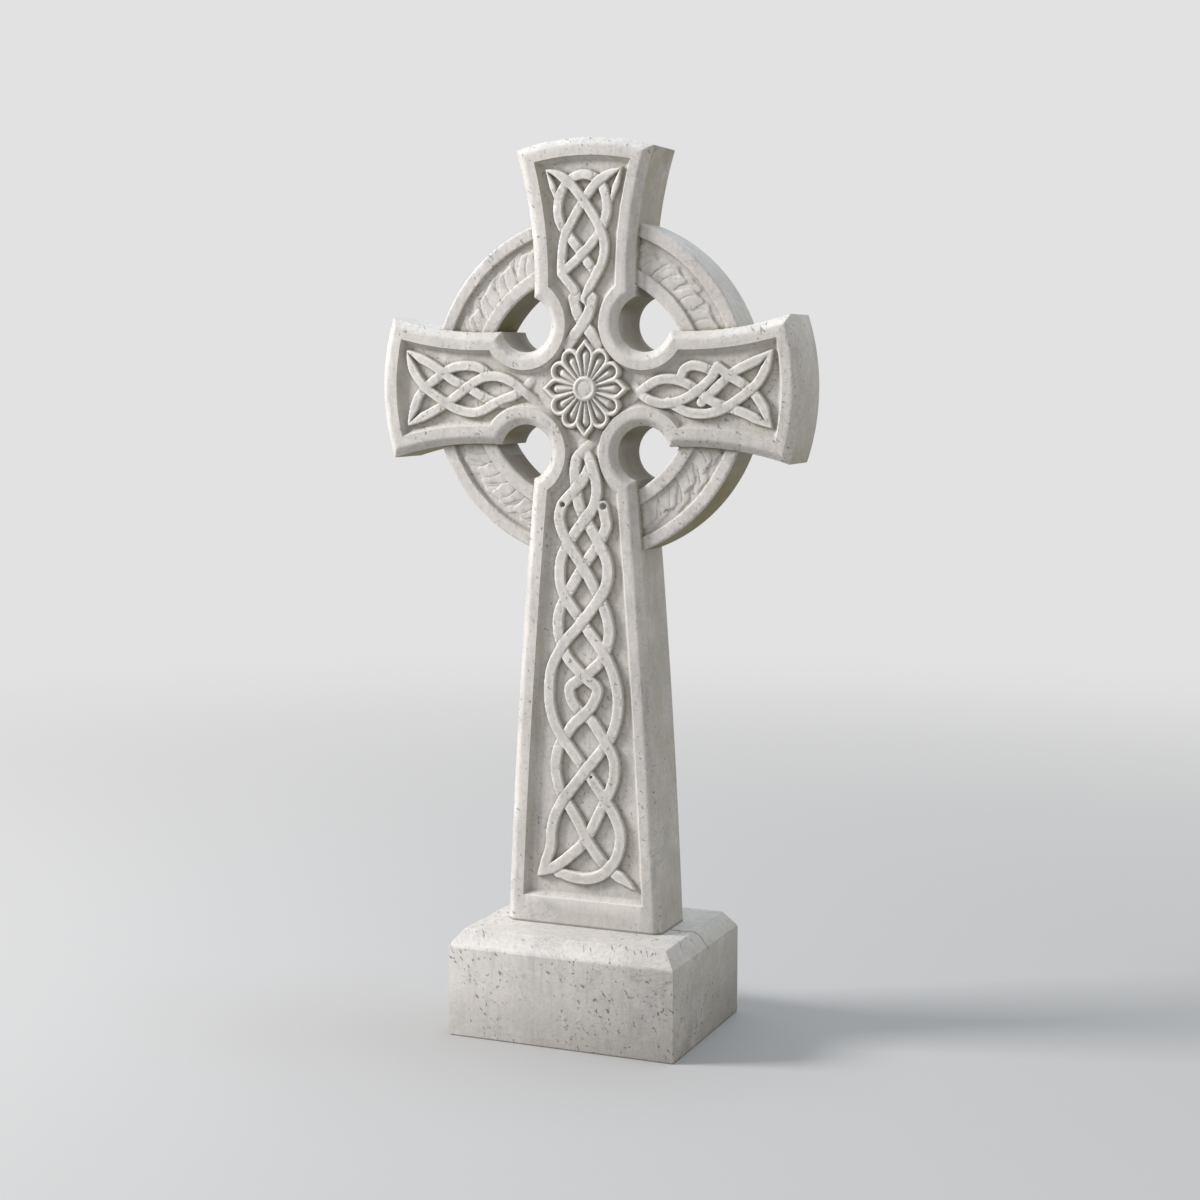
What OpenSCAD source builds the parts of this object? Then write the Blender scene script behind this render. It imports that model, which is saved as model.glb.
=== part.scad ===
// Celtic cross headstone: a carved ring cross that stands on a block plinth.
// X runs across the front, the carved front faces -Y, Z is up, and the origin is
// the middle of the plinth's underside. All sizes are in millimetres.

/* [Plinth] */
// Width of the plinth
plinth_w = 326; // [270:1:420]
// Depth of the plinth, front to back
plinth_d = 254; // [180:1:340]
// Height of the plinth to its flat top
plinth_h = 146; // [90:1:240]
// Height of the weathered slope around the plinth's top
weather_rise = 22; // [6:1:40]
// Width of the weathered slope, seen from above
weather_run = 17; // [5:1:30]

/* [Cross] */
// Height of the cross above the plinth
cross_h = 1054; // [900:1:1300]
// Thickness of the cross, front to back
cross_t = 94; // [70:1:130]
// Height of the cross's centre above the plinth
centre_h = 727; // [640:1:800]
// Half of the arm span, at the middle of an arm's end
arm_reach = 300; // [280:1:380]
// Radius of the curve of an arm's end
arm_end_r = 300; // [200:1:600]
// Radius of the curve across the top of the head
head_end_r = 360; // [250:1:700]
// Width of the chamfer around the front and back
chamfer = 9; // [3:0.5:11]

/* [Limbs] */
// Half width of the shaft at its foot
foot_half = 113.5; // [95:0.5:130]
// Half width of the shaft level with the cross's centre
shaft_top_half = 62; // [52:0.5:70]
// Outward swell of the shaft's sides at mid height
shaft_swell = 5; // [1:0.5:10]
// Half width of the head at its neck
head_neck = 72; // [64:0.5:80]
// Height of the head's neck above the cross's centre
head_neck_h = 143; // [120:1:170]
// Radius of the hollow curve along each side of the head
head_flare_r = 571; // [350:1:900]
// Half height of an arm at its neck
arm_neck = 74.5; // [66:0.5:80]
// Distance of an arm's neck from the cross's centre
arm_neck_x = 150; // [125:1:175]
// Radius of the hollow curve along each edge of an arm
arm_flare_r = 438; // [300:1:700]
// Radius of the round hollow at each armpit
armpit_r = 37; // [28:0.5:42]
// Distance of an armpit's centre from the cross's centre, across and up
armpit_off = 85; // [80:1:92]

/* [Ring] */
// Inner radius of the ring
ring_in_r = 152; // [146:1:160]
// Outer radius of the ring
ring_out_r = 228; // [205:1:250]
// Depth of the ring's face behind the cross's face
ring_setback = 14; // [12:1:24]
// Width of the ring's raised inner border
ring_in_border = 18; // [8:1:24]
// Width of the ring's raised outer border
ring_out_border = 16.5; // [8:0.5:24]
// Depth of the sunk band between the ring's borders
ring_band_depth = 5; // [2:0.5:10]

/* [Panel] */
// Width of the flat frame around the sunk panel
frame_w = 14.5; // [9:0.5:18]
// Depth of the sunk panel
panel_depth = 11; // [6:0.5:14]
// Width of the panel's sloping wall
panel_slope = 7; // [2:0.5:9]
// Height of the plain band below the panel
foot_band = 37; // [20:1:70]

/* [Carving] */
// Height of the knotwork above the sunk panel
knot_rise = 8; // [2:0.5:10]
// Width of a strand on the shaft
shaft_knot_w = 15; // [8:0.5:17]
// Width of a strand on the head and arms
limb_knot_w = 12; // [7:0.5:15]
// Reach of the rosette's pointed petals
petal_reach = 63; // [45:1:66]
// Reach of the rosette's round petals
round_petal_reach = 58; // [42:1:62]
// Half width of a pointed petal
petal_w = 12; // [8:0.5:13]
// Half width of a round petal
round_petal_w = 13.5; // [8:0.5:14]
// Depth of the hollow in a petal
petal_hollow = 4; // [1:0.5:6]
// Radius of the rosette's boss
boss_r = 15; // [10:0.5:18]
// Height of the boss above the cross's face
boss_rise = 2.5; // [0.5:0.5:6]

/* [Hidden] */
round_fn = 80;
past = 2;
half_t = cross_t / 2;
centre_z = plinth_h + centre_h;
top_z = plinth_h + cross_h;
front_y = -half_t;
panel_y = front_y + panel_depth;
wall = panel_slope / panel_depth;
panel_inset = chamfer + frame_w;
swell_steps = 4;
spline_steps = 2;
petal_steps = 6;
weld = 0.02;
rim_w = 2.6;
point_power = 0.62;
round_power = 0.5;
dish_r = boss_r - 5;

// An edge is a list of [y, inset]: how far a form's side stands in from the full outline
// at each depth. It reaches past both faces, so that cuts go clean through.
body_edge = [
    [front_y - past, chamfer + past],
    [front_y + chamfer, 0],
    [half_t - chamfer, 0],
    [half_t + past, chamfer + past]
];
panel_edge = [
    [front_y - past, panel_inset - past * wall],
    [panel_y + past, panel_inset + (panel_depth + past) * wall]
];

// Routes of the knotwork strands on the shaft, as [across, height above the cross's centre].
shaft_strands = [
    [[-6, -76], [3, -88], [14, -104], [21, -122], [21, -136], [14, -154], [3, -172], [-12, -190],
     [-26, -206], [-33, -226], [-34, -246], [-29, -270], [-17, -291], [-2, -311], [14, -330],
     [30, -354], [43, -380], [50, -404], [52, -430], [48, -455], [38, -472], [24, -486], [5, -512],
     [-14, -532], [-32, -556], [-44, -578], [-49, -604], [-46, -626], [-54, -648]],
    [[6, -76], [-1, -90], [-4, -106], [-5, -122], [-14, -138], [-24, -150]],
    [[-33, -160], [-33, -178], [-29, -193], [-19, -207], [-6, -222], [6, -242], [17, -268], [29, -290],
     [36, -308], [39, -328], [36, -346], [26, -362], [10, -377], [-8, -390], [-18, -402], [-16, -416],
     [-6, -432], [10, -446], [24, -462], [36, -482], [44, -504], [44, -524], [36, -548], [24, -572],
     [10, -596], [-8, -622], [-26, -640], [-50, -653]],
    [[34, -162], [35, -178], [30, -196], [16, -214], [4, -230], [-8, -248], [-20, -268], [-32, -288],
     [-36, -308], [-36, -326], [-32, -346], [-18, -364], [2, -382], [18, -396], [20, -408], [10, -424],
     [-6, -444], [-22, -462], [-35, -482], [-42, -504], [-41, -524], [-34, -546], [-16, -562],
     [2, -590], [16, -616], [26, -636]],
    [[10, -186], [22, -202], [32, -218], [36, -238], [33, -258], [22, -280], [6, -304], [-10, -322],
     [-28, -342], [-42, -368], [-48, -394], [-48, -424], [-41, -454], [-28, -480], [-12, -498],
     [6, -516], [24, -538], [40, -562], [51, -588], [54, -614], [48, -638], [34, -654], [14, -662],
     [-10, -662], [-32, -656]]
];

// Routes on the head, measured the same way.
head_strands = [
    [[-46, 280], [-30, 275], [-16, 266], [-3, 252], [10, 232], [20, 212], [29, 192], [32, 174],
     [26, 156], [14, 138], [4, 120]],
    [[46, 280], [32, 275], [18, 266], [6, 252], [-8, 232], [-19, 212], [-27, 192], [-30, 172], [-30, 152]],
    [[-30, 150], [-14, 162], [0, 176], [14, 196], [26, 214], [32, 236], [29, 258], [16, 274], [0, 280],
     [-14, 275], [-26, 260], [-31, 240], [-26, 216], [-14, 198], [-2, 180], [10, 162]],
    [[-22, 146], [-12, 134], [-2, 120]],
    [[-18, 122], [-8, 100], [6, 82], [14, 68]],
    [[16, 122], [6, 98], [-4, 84], [-12, 72]]
];

// Routes on an arm, as [distance from the cross's centre, height above it].
arm_strands = [
    [[252, 42], [233, 35], [216, 26], [200, 16], [182, 6], [164, -3], [146, -12], [128, -18], [108, -16],
     [92, -4], [76, 10]],
    [[254, 38], [249, 20], [238, 4], [220, -12], [200, -24], [178, -31], [156, -30], [138, -20],
     [120, -11], [102, -4], [84, 10]],
    [[252, -42], [249, -24], [236, -4], [216, 12], [198, 24], [178, 30], [158, 27], [142, 16]],
    [[252, -42], [232, -37], [212, -28], [194, -16], [176, -4], [158, 8], [138, 15], [118, 12],
     [98, 4], [82, -8], [68, -18]]
];

// Catmull-Rom spline through a route's points
function bent(a, b, c, d, t) = 0.5 * (2 * b + (c - a) * t + (2 * a - 5 * b + 4 * c - d) * t * t
    + (3 * b - a - 3 * c + d) * t * t * t);
function spline(p) = [
    for (i = [0 : len(p) - 2], s = [0 : spline_steps - 1])
        bent(p[max(i - 1, 0)], p[i], p[i + 1], p[min(i + 2, len(p) - 1)], s / spline_steps),
    p[len(p) - 1]
];
function unit(v) = v / norm(v);
function across(v) = [-v[1], v[0]];
function side(q, w) = [
    for (i = [0 : len(q) - 1])
        q[i] + w * across(unit(q[min(i + 1, len(q) - 1)] - q[max(i - 1, 0)]))
];
function back_to_front(q) = [for (i = [len(q) - 1 : -1 : 0]) q[i]];

// A petal's outline: round with power 0.5, pointed with a higher power
function petal_half(reach, width, power, root) = [
    for (i = [0 : petal_steps])
        let (s = i / petal_steps)
            [root + (reach - root) * s, width * (0.18 + 0.82 * s) * pow(max(1 - pow(s, 3), 0), power)]
];
function mirrored(q) = concat(q, [for (p = back_to_front(q)) if (p[1] > 0) [p[0], -p[1]]]);

// Turns a flat drawing in X and Z into a slab between two depths
module slab(y0, y1) {
    translate([0, y1, 0]) rotate([90, 0, 0]) linear_extrude(y1 - y0) children();
}

module about_y(x, z, points) {
    translate([x, 0, z]) rotate([90, 0, 0]) rotate_extrude($fn = round_fn) polygon(points);
}

// A round cut whose radius grows with the edge's inset, and a round stop that shrinks with it
module hollow(x, z, r, edge) {
    last = edge[len(edge) - 1];
    about_y(x, z, concat([[0, -edge[0][0]]], [for (e = edge) [r + e[1], -e[0]]], [[0, -last[0]]]));
}

module round_stop(x, z, r, edge) {
    last = edge[len(edge) - 1];
    about_y(x, z, concat([[0, -edge[0][0]]], [for (e = edge) [r - e[1], -e[0]]], [[0, -last[0]]]));
}

module head(edge, y0, y1) {
    reach = head_neck + chamfer + 80;
    difference() {
        intersection() {
            slab(y0, y1) translate([-reach, centre_z]) square([2 * reach, cross_h - centre_h + past]);
            round_stop(0, top_z - head_end_r, head_end_r, edge);
        }
        for (s = [-1, 1])
            hollow(s * (head_neck + head_flare_r), centre_z + head_neck_h, head_flare_r, edge);
    }
}

module arm(edge, y0, y1) {
    reach = arm_neck + chamfer + 80;
    difference() {
        intersection() {
            slab(y0, y1) translate([0, centre_z - reach]) square([arm_reach + past, 2 * reach]);
            round_stop(arm_reach - arm_end_r, centre_z, arm_end_r, edge);
        }
        for (s = [-1, 1])
            hollow(arm_neck_x, centre_z + s * (arm_neck + arm_flare_r), arm_flare_r, edge);
    }
}

// The shaft's half width at a fraction of the way up to the cross's centre
function shaft_half(f) = foot_half + (shaft_top_half - foot_half) * f + 4 * shaft_swell * f * (1 - f);

// Everything on the inner side of one flat of the shaft's right side
module shaft_side(edge, k) {
    low = shaft_half(k / swell_steps);
    high = shaft_half((k + 1) / swell_steps);
    lean = atan((low - high) / (centre_h / swell_steps));
    far = 3 * foot_half;
    last = edge[len(edge) - 1];
    translate([low, 0, plinth_h + centre_h * k / swell_steps])
        rotate([0, -lean, 0])
            translate([0, 0, -centre_h - foot_half])
                linear_extrude(2 * centre_h + 2 * foot_half)
                    polygon(concat([[-far, edge[0][0]]], [for (e = edge) [-e[1], e[0]]], [[-far, last[0]]]));
}

module shaft(edge, y0, y1) {
    intersection() {
        slab(y0, y1) translate([-foot_half, plinth_h]) square([2 * foot_half, centre_h + past]);
        for_all_flats(edge);
        mirror([1, 0, 0]) for_all_flats(edge);
    }
}

module for_all_flats(edge) {
    intersection_for(k = [0 : swell_steps - 1])
        shaft_side(edge, k);
}

// The cross's outline as a solid: the body with its chamfers, or the sunk panel
module cross_form(edge, y0, y1) {
    difference() {
        union() {
            head(edge, y0, y1);
            arm(edge, y0, y1);
            mirror([1, 0, 0]) arm(edge, y0, y1);
            shaft(edge, y0, y1);
        }
        for (sx = [-1, 1], sz = [-1, 1])
            hollow(sx * armpit_off, centre_z + sz * armpit_off, armpit_r, edge);
    }
}

// Everything above the plain band, with the panel's sloping lower wall
module above_foot_band() {
    foot_z = plinth_h + foot_band;
    far_z = top_z + past;
    rotate([90, 0, 90]) translate([0, 0, -arm_reach]) linear_extrude(2 * arm_reach)
        polygon([
            [front_y - past, foot_z - past * wall],
            [panel_y + past, foot_z + (panel_depth + past) * wall],
            [panel_y + past, far_z],
            [front_y - past, far_z]
        ]);
}

module panel() {
    intersection() {
        cross_form(panel_edge, front_y - past, panel_y);
        above_foot_band();
    }
}

module ring() {
    face = half_t - ring_setback;
    floor_y = face - ring_band_depth;
    in_top = ring_in_r + ring_in_border;
    out_top = ring_out_r - ring_out_border;
    about_y(0, centre_z, [
        [ring_in_r, -face],
        [ring_out_r, -face],
        [ring_out_r, face],
        [out_top, face],
        [out_top - ring_band_depth / 2, floor_y],
        [in_top + ring_band_depth / 2, floor_y],
        [in_top, face],
        [ring_in_r, face]
    ]);
}

// Joins flat pieces that share their edges into one clean outline
module joined() {
    offset(delta = weld) children();
}

module strands(routes, w) {
    for (route = routes) {
        line = spline(route);
        left = side(line, w / 2);
        right = side(line, -w / 2);
        for (i = [0 : len(line) - 2])
            polygon([left[i], left[i + 1], right[i + 1], right[i]]);
    }
}

module knotwork() {
    translate([0, 0, centre_z])
        slab(panel_y - knot_rise, panel_y + past)
            joined() {
                strands(shaft_strands, shaft_knot_w);
                strands(head_strands, limb_knot_w);
                for (s = [0, 1])
                    mirror([s, 0]) strands(arm_strands, limb_knot_w);
            }
}

// All twelve petals side by side, drawn in by a rim width
module petals(inset) {
    for (k = [0 : 11])
        rotate(30 * k)
            polygon(mirrored(
                k % 3 == 0
                    ? petal_half(petal_reach - inset, petal_w - inset, point_power, boss_r + inset)
                    : petal_half(round_petal_reach - inset, round_petal_w - inset, round_power, boss_r + inset)
            ));
}

module rosette() {
    translate([0, 0, centre_z]) {
        difference() {
            slab(front_y, panel_y + past) joined() {
                petals(0);
                circle(r = boss_r + past, $fn = round_fn);
            }
            slab(front_y - past, front_y + petal_hollow) petals(rim_w);
        }
        slab(front_y - boss_rise, front_y + past) difference() {
            circle(r = boss_r, $fn = round_fn);
            circle(r = dish_r, $fn = round_fn);
        }
    }
}

module cross() {
    color("gainsboro") {
        difference() {
            cross_form(body_edge, front_y, half_t);
            panel();
        }
        ring();
        knotwork();
        rosette();
    }
}

// The plinth's upright profile, across a width w
module block_end(w) {
    shoulder_z = plinth_h - weather_rise;
    polygon([
        [-w / 2, 0],
        [w / 2, 0],
        [w / 2, shoulder_z],
        [w / 2 - weather_run, plinth_h],
        [weather_run - w / 2, plinth_h],
        [-w / 2, shoulder_z]
    ]);
}

module plinth() {
    color("lightgray") intersection() {
        rotate([90, 0, 90]) translate([0, 0, -plinth_w / 2]) linear_extrude(plinth_w) block_end(plinth_d);
        rotate([90, 0, 0]) translate([0, 0, -plinth_d / 2]) linear_extrude(plinth_d) block_end(plinth_w);
    }
}

plinth();
cross();
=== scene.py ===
import math

import bpy
import numpy as np
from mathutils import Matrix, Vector


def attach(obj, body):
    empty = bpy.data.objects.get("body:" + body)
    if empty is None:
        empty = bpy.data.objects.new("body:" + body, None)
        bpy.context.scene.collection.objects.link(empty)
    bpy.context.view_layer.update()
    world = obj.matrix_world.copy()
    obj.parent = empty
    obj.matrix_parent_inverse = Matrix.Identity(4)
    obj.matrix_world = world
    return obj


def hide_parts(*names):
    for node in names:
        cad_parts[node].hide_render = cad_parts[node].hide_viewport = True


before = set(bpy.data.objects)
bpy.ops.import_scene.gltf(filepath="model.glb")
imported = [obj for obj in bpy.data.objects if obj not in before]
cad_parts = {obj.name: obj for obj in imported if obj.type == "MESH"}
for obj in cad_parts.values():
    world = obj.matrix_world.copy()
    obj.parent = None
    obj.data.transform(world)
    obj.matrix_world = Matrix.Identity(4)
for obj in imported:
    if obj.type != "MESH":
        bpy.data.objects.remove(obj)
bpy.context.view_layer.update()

# Sizes in millimetres, in the same frame as the CAD: X across, front faces -Y, Z up.
MM = 0.001
BASE_W, BASE_D, BASE_H = 326.0, 254.0, 146.0
WEATHER_RISE, WEATHER_RUN = 22.0, 17.0
TOP_Z, MID_Z = 1200.0, 873.0
HALF_T = 47.0
CHAMFER, ARRIS_ROUND = 9.0, 2.4
FRAME_W, PANEL_DEPTH, WALL_RUN, FOOT_BAND_Z = 14.5, 9.8, 7.5, 183.0
FOOT_HALF, SHAFT_TOP_HALF, SHAFT_SWELL = 113.5, 62.0, 5.0
HEAD_NECK, HEAD_NECK_Z, HEAD_FLARE_R, HEAD_END_R = 72.0, MID_Z + 143.0, 571.0, 360.0
ARM_NECK, ARM_NECK_X, ARM_FLARE_R, ARM_END_R = 74.5, 150.0, 438.0, 300.0
ARMPIT_R, ARMPIT_OFF = 37.0, 85.0
RING_IN, RING_OUT, RING_SETBACK = 152.0, 228.0, 14.0
RING_IN_BORDER, RING_OUT_BORDER, RING_BAND_DEPTH, RING_BAND_WALL = 18.0, 16.5, 6.0, 2.5
RING_ARRIS, RING_ARRIS_RUN = 1.6, 2.2
FRAME_EDGE = CHAMFER + FRAME_W
PLINTH_ARRIS = 2.6
NOWHERE = -60.0  # a height that no relief reaches
OUTSIDE = -1e3  # a distance inside for places that an outline doesn't cover
SLACK = 0.05  # places this near to the limbs' outline still count as on it

# Rosette: its middle, its stretch across and up, its boss, and the zone in which it may rise
ROSETTE_X, ROSETTE_W, ROSETTE_H, BOSS, ROSETTE_ZONE = 4.0, 0.97, 1.03, 1.12, 74.0
PETALS = 12
# Petals as wedges: distance out and half width at the start and at the broadest place
ROUND_PETAL, ROUND_REACH = (12, 3.3, 43.5, 13.8), 57.5
POINTED_PETAL, PETAL_POINT, POINTED_REACH = (12, 3.6, 43, 14.0), (43, 14.0, 63.4, 0.5), 63.5
# Distance in from a petal's edge, and the height of its lip there
LIP_AT = (-1.2, 0, 1.0, 2.4, 4.6, 6.0, 7.2)
LIP_HEIGHT = (-12, -4.2, -0.2, 0.9, 0.7, -1.8, -4.6)
LIP_TOP, RIDGE_FROM, LIP_END = 4.6, 5.6, 7.2
# The hollow inside the lip is deeper towards the tip and shallower where the petal is narrow; the
# ridge along its middle falls to each side and away before the tip
HOLLOW_DEPTH, HOLLOW_AT_TIP, HOLLOW_NARROW = 3.6, 4.6, 0.45
RIDGE_TOP, RIDGE_BEND, RIDGE_DROP, RIDGE_TO, RIDGE_RUN = -0.5, 0.13, 8.0, 0.56, 0.26
# Distance from the boss's middle, and its height there
BOSS_AT = (0, 6.0, 7.8, 9.0, 10.6, 12.6, 14.6, 15.6, 17)
BOSS_HEIGHT = (1.4, 1.3, 1.0, 0.7, 1.7, 2.1, 0.6, -4, -14)

# Knotwork: height of the strands' tops, how far they dip under a crossing, the cut beside it
KNOT_TOP, KNOT_DIP, KNOT_CUT, CUT_WIDTH = -2.8, 0.9, 0.8, 1.1
SHAFT_W, LIMB_W, POINT_W = 15.6, 13.2, 9.0
TAPER_RUN, POINT_SHARE, SINK_RUN, SINK_DEPTH = 26.0, 0.12, 32.0, 6.5
# Distance in from a strand's edge, and how far its side has fallen there
STRAND_AT = (-1.7, -0.8, 0.0, 0.7, 1.5)
STRAND_FALL = (40, 8, 2.8, 0.4, 0)
ROUND, POINTED, SINKS = 0, 1, 2

# Ring leaves: the radius on which they are set out, and for each layer its shift along the ring
# (in leaves), its height, its reach outwards and its half width
LEAF_LINE_R, LEAF_LEAN, LEAN_FROM, LEAVES = 190.0, 0.55, 14, 32
LEAF_LAYERS = ((0.5, 1.3, 36.0, 17.5), (0.0, 2.3, 30.0, 19.0))
# A leaf's edge is cut by lobes and slopes down; a groove winds up its middle
LOBES, LOBE_DEPTH, LEAF_EDGE = 5, 0.11, 0.17
GROOVE_DEPTH, GROOVE_HALF, GROOVE_SWAY, GROOVE_WAVE = 0.8, 0.8, 3.5, 9.0

# The front is worked out on a grid of this pitch and half width, then thinned
PITCH = 1.05
STEEP, SHARP = 50, 20  # edges this steep, in degrees, are sharp anywhere, or on creases only
GRID_HALF = RING_OUT + 80
CROSS_TRIANGLES = 190000
# Radii over which the carving's depth is measured for its dirt and painted shade, and for its painted
# highlights
DIRT_SHADE_NEAR, DIRT_SHADE_WIDE = 2.8, 7.0
rng = np.random.default_rng(7)
LEAF_VARY = rng.uniform(-1, 1, (2, LEAVES, 2))
WEAR = ((0.16, 40), (0.10, 120))  # how high the stone's unevenness is, and its cells across

# Knotwork strands: width, how each end stops (round, tapering to a point, or sinking into the
# ground), the places where the strand passes under another, and its route. Places are given
# across and above the plinth's underside.
STRANDS = [
    (SHAFT_W, (SINKS, POINTED), [(-22, 667), (-2, 562), (34, 399)],
     [(-4, 799), (5, 785), (13, 770), (18, 752), (19, 735), (15, 718), (6, 704), (-4, 692), (-14, 679),
      (-24, 664), (-31, 650), (-34, 636), (-34, 618), (-29, 600), (-17, 582), (-4, 565), (8, 549),
      (20, 534), (30, 520), (38, 506), (45, 488), (49, 470), (50, 452), (47, 430), (39, 408), (27, 391),
      (12, 372), (-4, 352), (-20, 332), (-34, 312), (-43, 294), (-48, 272), (-49, 252), (-56, 232),
      (-68, 211)]),
    (SHAFT_W, (SINKS, ROUND), [(2, 793), (-11, 740), (3, 700), (3, 361), (-44, 217)],
     [(11, 802), (0, 791), (-9, 782), (-12, 768), (-12, 752), (-10, 736), (-6, 718), (1, 703), (10, 689),
      (19, 675), (28, 658), (34, 643), (35, 625), (30, 606), (19, 589), (5, 571), (-9, 554), (-24, 538),
      (-36, 520), (-46, 500), (-50, 478), (-50, 454), (-45, 430), (-35, 410), (-22, 393), (-8, 375),
      (6, 357), (20, 339), (34, 320), (46, 300), (53, 280), (52, 258), (44, 238), (28, 221), (8, 213),
      (-14, 213), (-38, 218)]),
    (SHAFT_W, (ROUND, ROUND), [(10, 772)],
     [(10, 772), (4, 760), (-4, 748), (-14, 737), (-24, 727), (-31, 719)]),
    (SHAFT_W, (ROUND, ROUND), [(23, 595), (30, 520), (1, 489), (0, 436)],
     [(-31, 719), (-35, 704), (-33, 690), (-26, 674), (-14, 655), (-3, 640), (6, 626), (15, 610), (26, 590),
      (34, 570), (37, 550), (34, 532), (26, 512), (8, 494), (-8, 483), (-20, 472), (-16, 453), (-2, 438),
      (12, 429), (24, 413), (35, 397), (43, 381), (45, 365), (43, 348), (36, 330)]),
    (SHAFT_W, (ROUND, POINTED), [(32, 323), (4, 268)],
     [(43, 348), (36, 330), (24, 306), (10, 278), (-3, 258), (-16, 246), (-30, 234), (-48, 222),
      (-68, 211)]),
    (SHAFT_W, (ROUND, POINTED),
     [(22, 669), (-1, 636), (-26, 595), (-31, 528), (-30, 402), (-29, 320), (37, 230)],
     [(28, 718), (31, 705), (33, 692), (28, 679), (18, 662), (6, 646), (-6, 628), (-17, 610), (-28, 592),
      (-36, 572), (-37, 552), (-33, 533), (-23, 513), (-8, 497), (6, 485), (20, 473), (14, 453), (0, 436),
      (-14, 424), (-24, 410), (-35, 394), (-40, 376), (-41, 358), (-37, 340), (-30, 322), (-18, 306),
      (-8, 290), (2, 272), (13, 255), (28, 237), (44, 224), (60, 215), (75, 204)]),
    (LIMB_W, (POINTED, POINTED), [],
     [(-53, 1159), (-36, 1153), (-19, 1141), (-4, 1124), (8, 1108), (20, 1089), (28, 1071), (30, 1053),
      (26, 1036), (17, 1019), (7, 1003), (1, 992), (4, 982)]),
    (LIMB_W, (POINTED, ROUND), [(0, 1118)],
     [(54, 1158), (37, 1152), (20, 1141), (6, 1126), (-5, 1110), (-16, 1092), (-26, 1073), (-30, 1053),
      (-31, 1036), (-31, 1026)]),
    (LIMB_W, (ROUND, ROUND), [(22, 1143), (25, 1080)],
     [(8, 1151), (20, 1145), (28, 1134), (33, 1118), (33, 1102), (28, 1086), (18, 1070), (5, 1055),
      (-10, 1041), (-31, 1024)]),
    (LIMB_W, (ROUND, ROUND), [(-22, 1144), (-24, 1077), (-1, 1049), (20, 1026)],
     [(8, 1151), (0, 1152), (-10, 1150), (-20, 1145), (-28, 1136), (-35, 1120), (-36, 1102), (-31, 1086),
      (-20, 1072), (-8, 1057), (4, 1041), (16, 1026)]),
    (LIMB_W, (ROUND, POINTED), [(0, 992)], [(-31, 1024), (-20, 1011), (-9, 998), (3, 983)]),
    (POINT_W, (POINTED, POINTED), [(-37, 1116)], [(-53, 1160), (-46, 1143), (-41, 1129), (-37, 1112)]),
    (POINT_W, (POINTED, POINTED), [(38, 1114)], [(54, 1159), (48, 1141), (43, 1127), (38, 1110)]),
    (SHAFT_W, (ROUND, ROUND), [(-16, 992), (0, 958), (20, 932)],
     [(-14, 992), (-9, 974), (0, 958), (12, 944), (20, 930)]),
    (SHAFT_W, (ROUND, ROUND), [(12, 992), (-22, 930)],
     [(12, 992), (8, 973), (0, 958), (-12, 944), (-22, 930)]),
    (LIMB_W, (POINTED, ROUND), [(232, 871)],
     [(262, 824), (255, 838), (250, 851), (238, 867), (222, 880), (205, 890), (188, 902)]),
    (LIMB_W, (ROUND, SINKS), [],
     [(188, 902), (181, 889), (168, 877), (155, 867), (140, 859), (125, 855), (110, 854), (95, 858),
      (82, 866), (70, 878)]),
    (LIMB_W, (POINTED, ROUND), [(204, 891), (173, 863)],
     [(262, 923), (245, 912), (228, 904), (212, 896), (200, 887), (188, 876), (176, 865), (166, 856)]),
    (LIMB_W, (POINTED, ROUND), [(126, 854)],
     [(262, 923), (254, 902), (245, 885), (235, 874), (222, 864), (210, 856), (197, 848), (182, 843),
      (165, 841), (148, 843), (134, 849), (120, 856)]),
    (LIMB_W, (POINTED, SINKS), [(203, 850), (160, 871), (84, 870)],
     [(262, 824), (235, 838), (215, 846), (195, 852), (180, 858), (165, 868), (150, 878), (135, 884),
      (120, 886), (105, 884), (90, 876), (76, 866), (66, 858)]),
    (LIMB_W, (ROUND, ROUND), [(184, 895)], [(138, 889), (142, 898), (152, 903), (165, 902), (182, 896)]),
    (LIMB_W, (POINTED, SINKS), [(-172, 873), (-137, 856)],
     [(-262, 924), (-245, 915), (-225, 905), (-207, 894), (-193, 884), (-178, 877), (-163, 870),
      (-148, 862), (-135, 856), (-120, 853), (-104, 852)]),
    (LIMB_W, (POINTED, ROUND), [(-236, 873), (-207, 894), (-138, 890)],
     [(-261, 822), (-255, 838), (-250, 850), (-243, 864), (-232, 875), (-220, 884), (-205, 894),
      (-190, 901), (-170, 903), (-152, 900), (-138, 890)]),
    (LIMB_W, (POINTED, SINKS), [],
     [(-262, 923), (-254, 900), (-242, 882), (-228, 869), (-213, 859), (-198, 850), (-185, 844),
      (-165, 840), (-148, 843), (-132, 851), (-117, 858), (-103, 863), (-90, 870), (-76, 883)]),
    (LIMB_W, (POINTED, SINKS), [(-203, 852), (-92, 872)],
     [(-261, 822), (-240, 833), (-225, 840), (-210, 848), (-198, 855), (-185, 864), (-172, 873),
      (-160, 881), (-147, 887), (-130, 889), (-115, 886), (-100, 879), (-88, 870), (-76, 860), (-66, 852)]),
]
# Small drilled eyes: across, height, radius
EYES = [(-30, 719, 3.8), (29, 718, 4.8), (11, 353, 2.0)]
EYE_FLOOR, EYE_RISE = -9.0, 5.5


def smooth(t):
    t = np.clip(t, 0.0, 1.0)
    return t * t * (3.0 - 2.0 * t)


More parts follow.
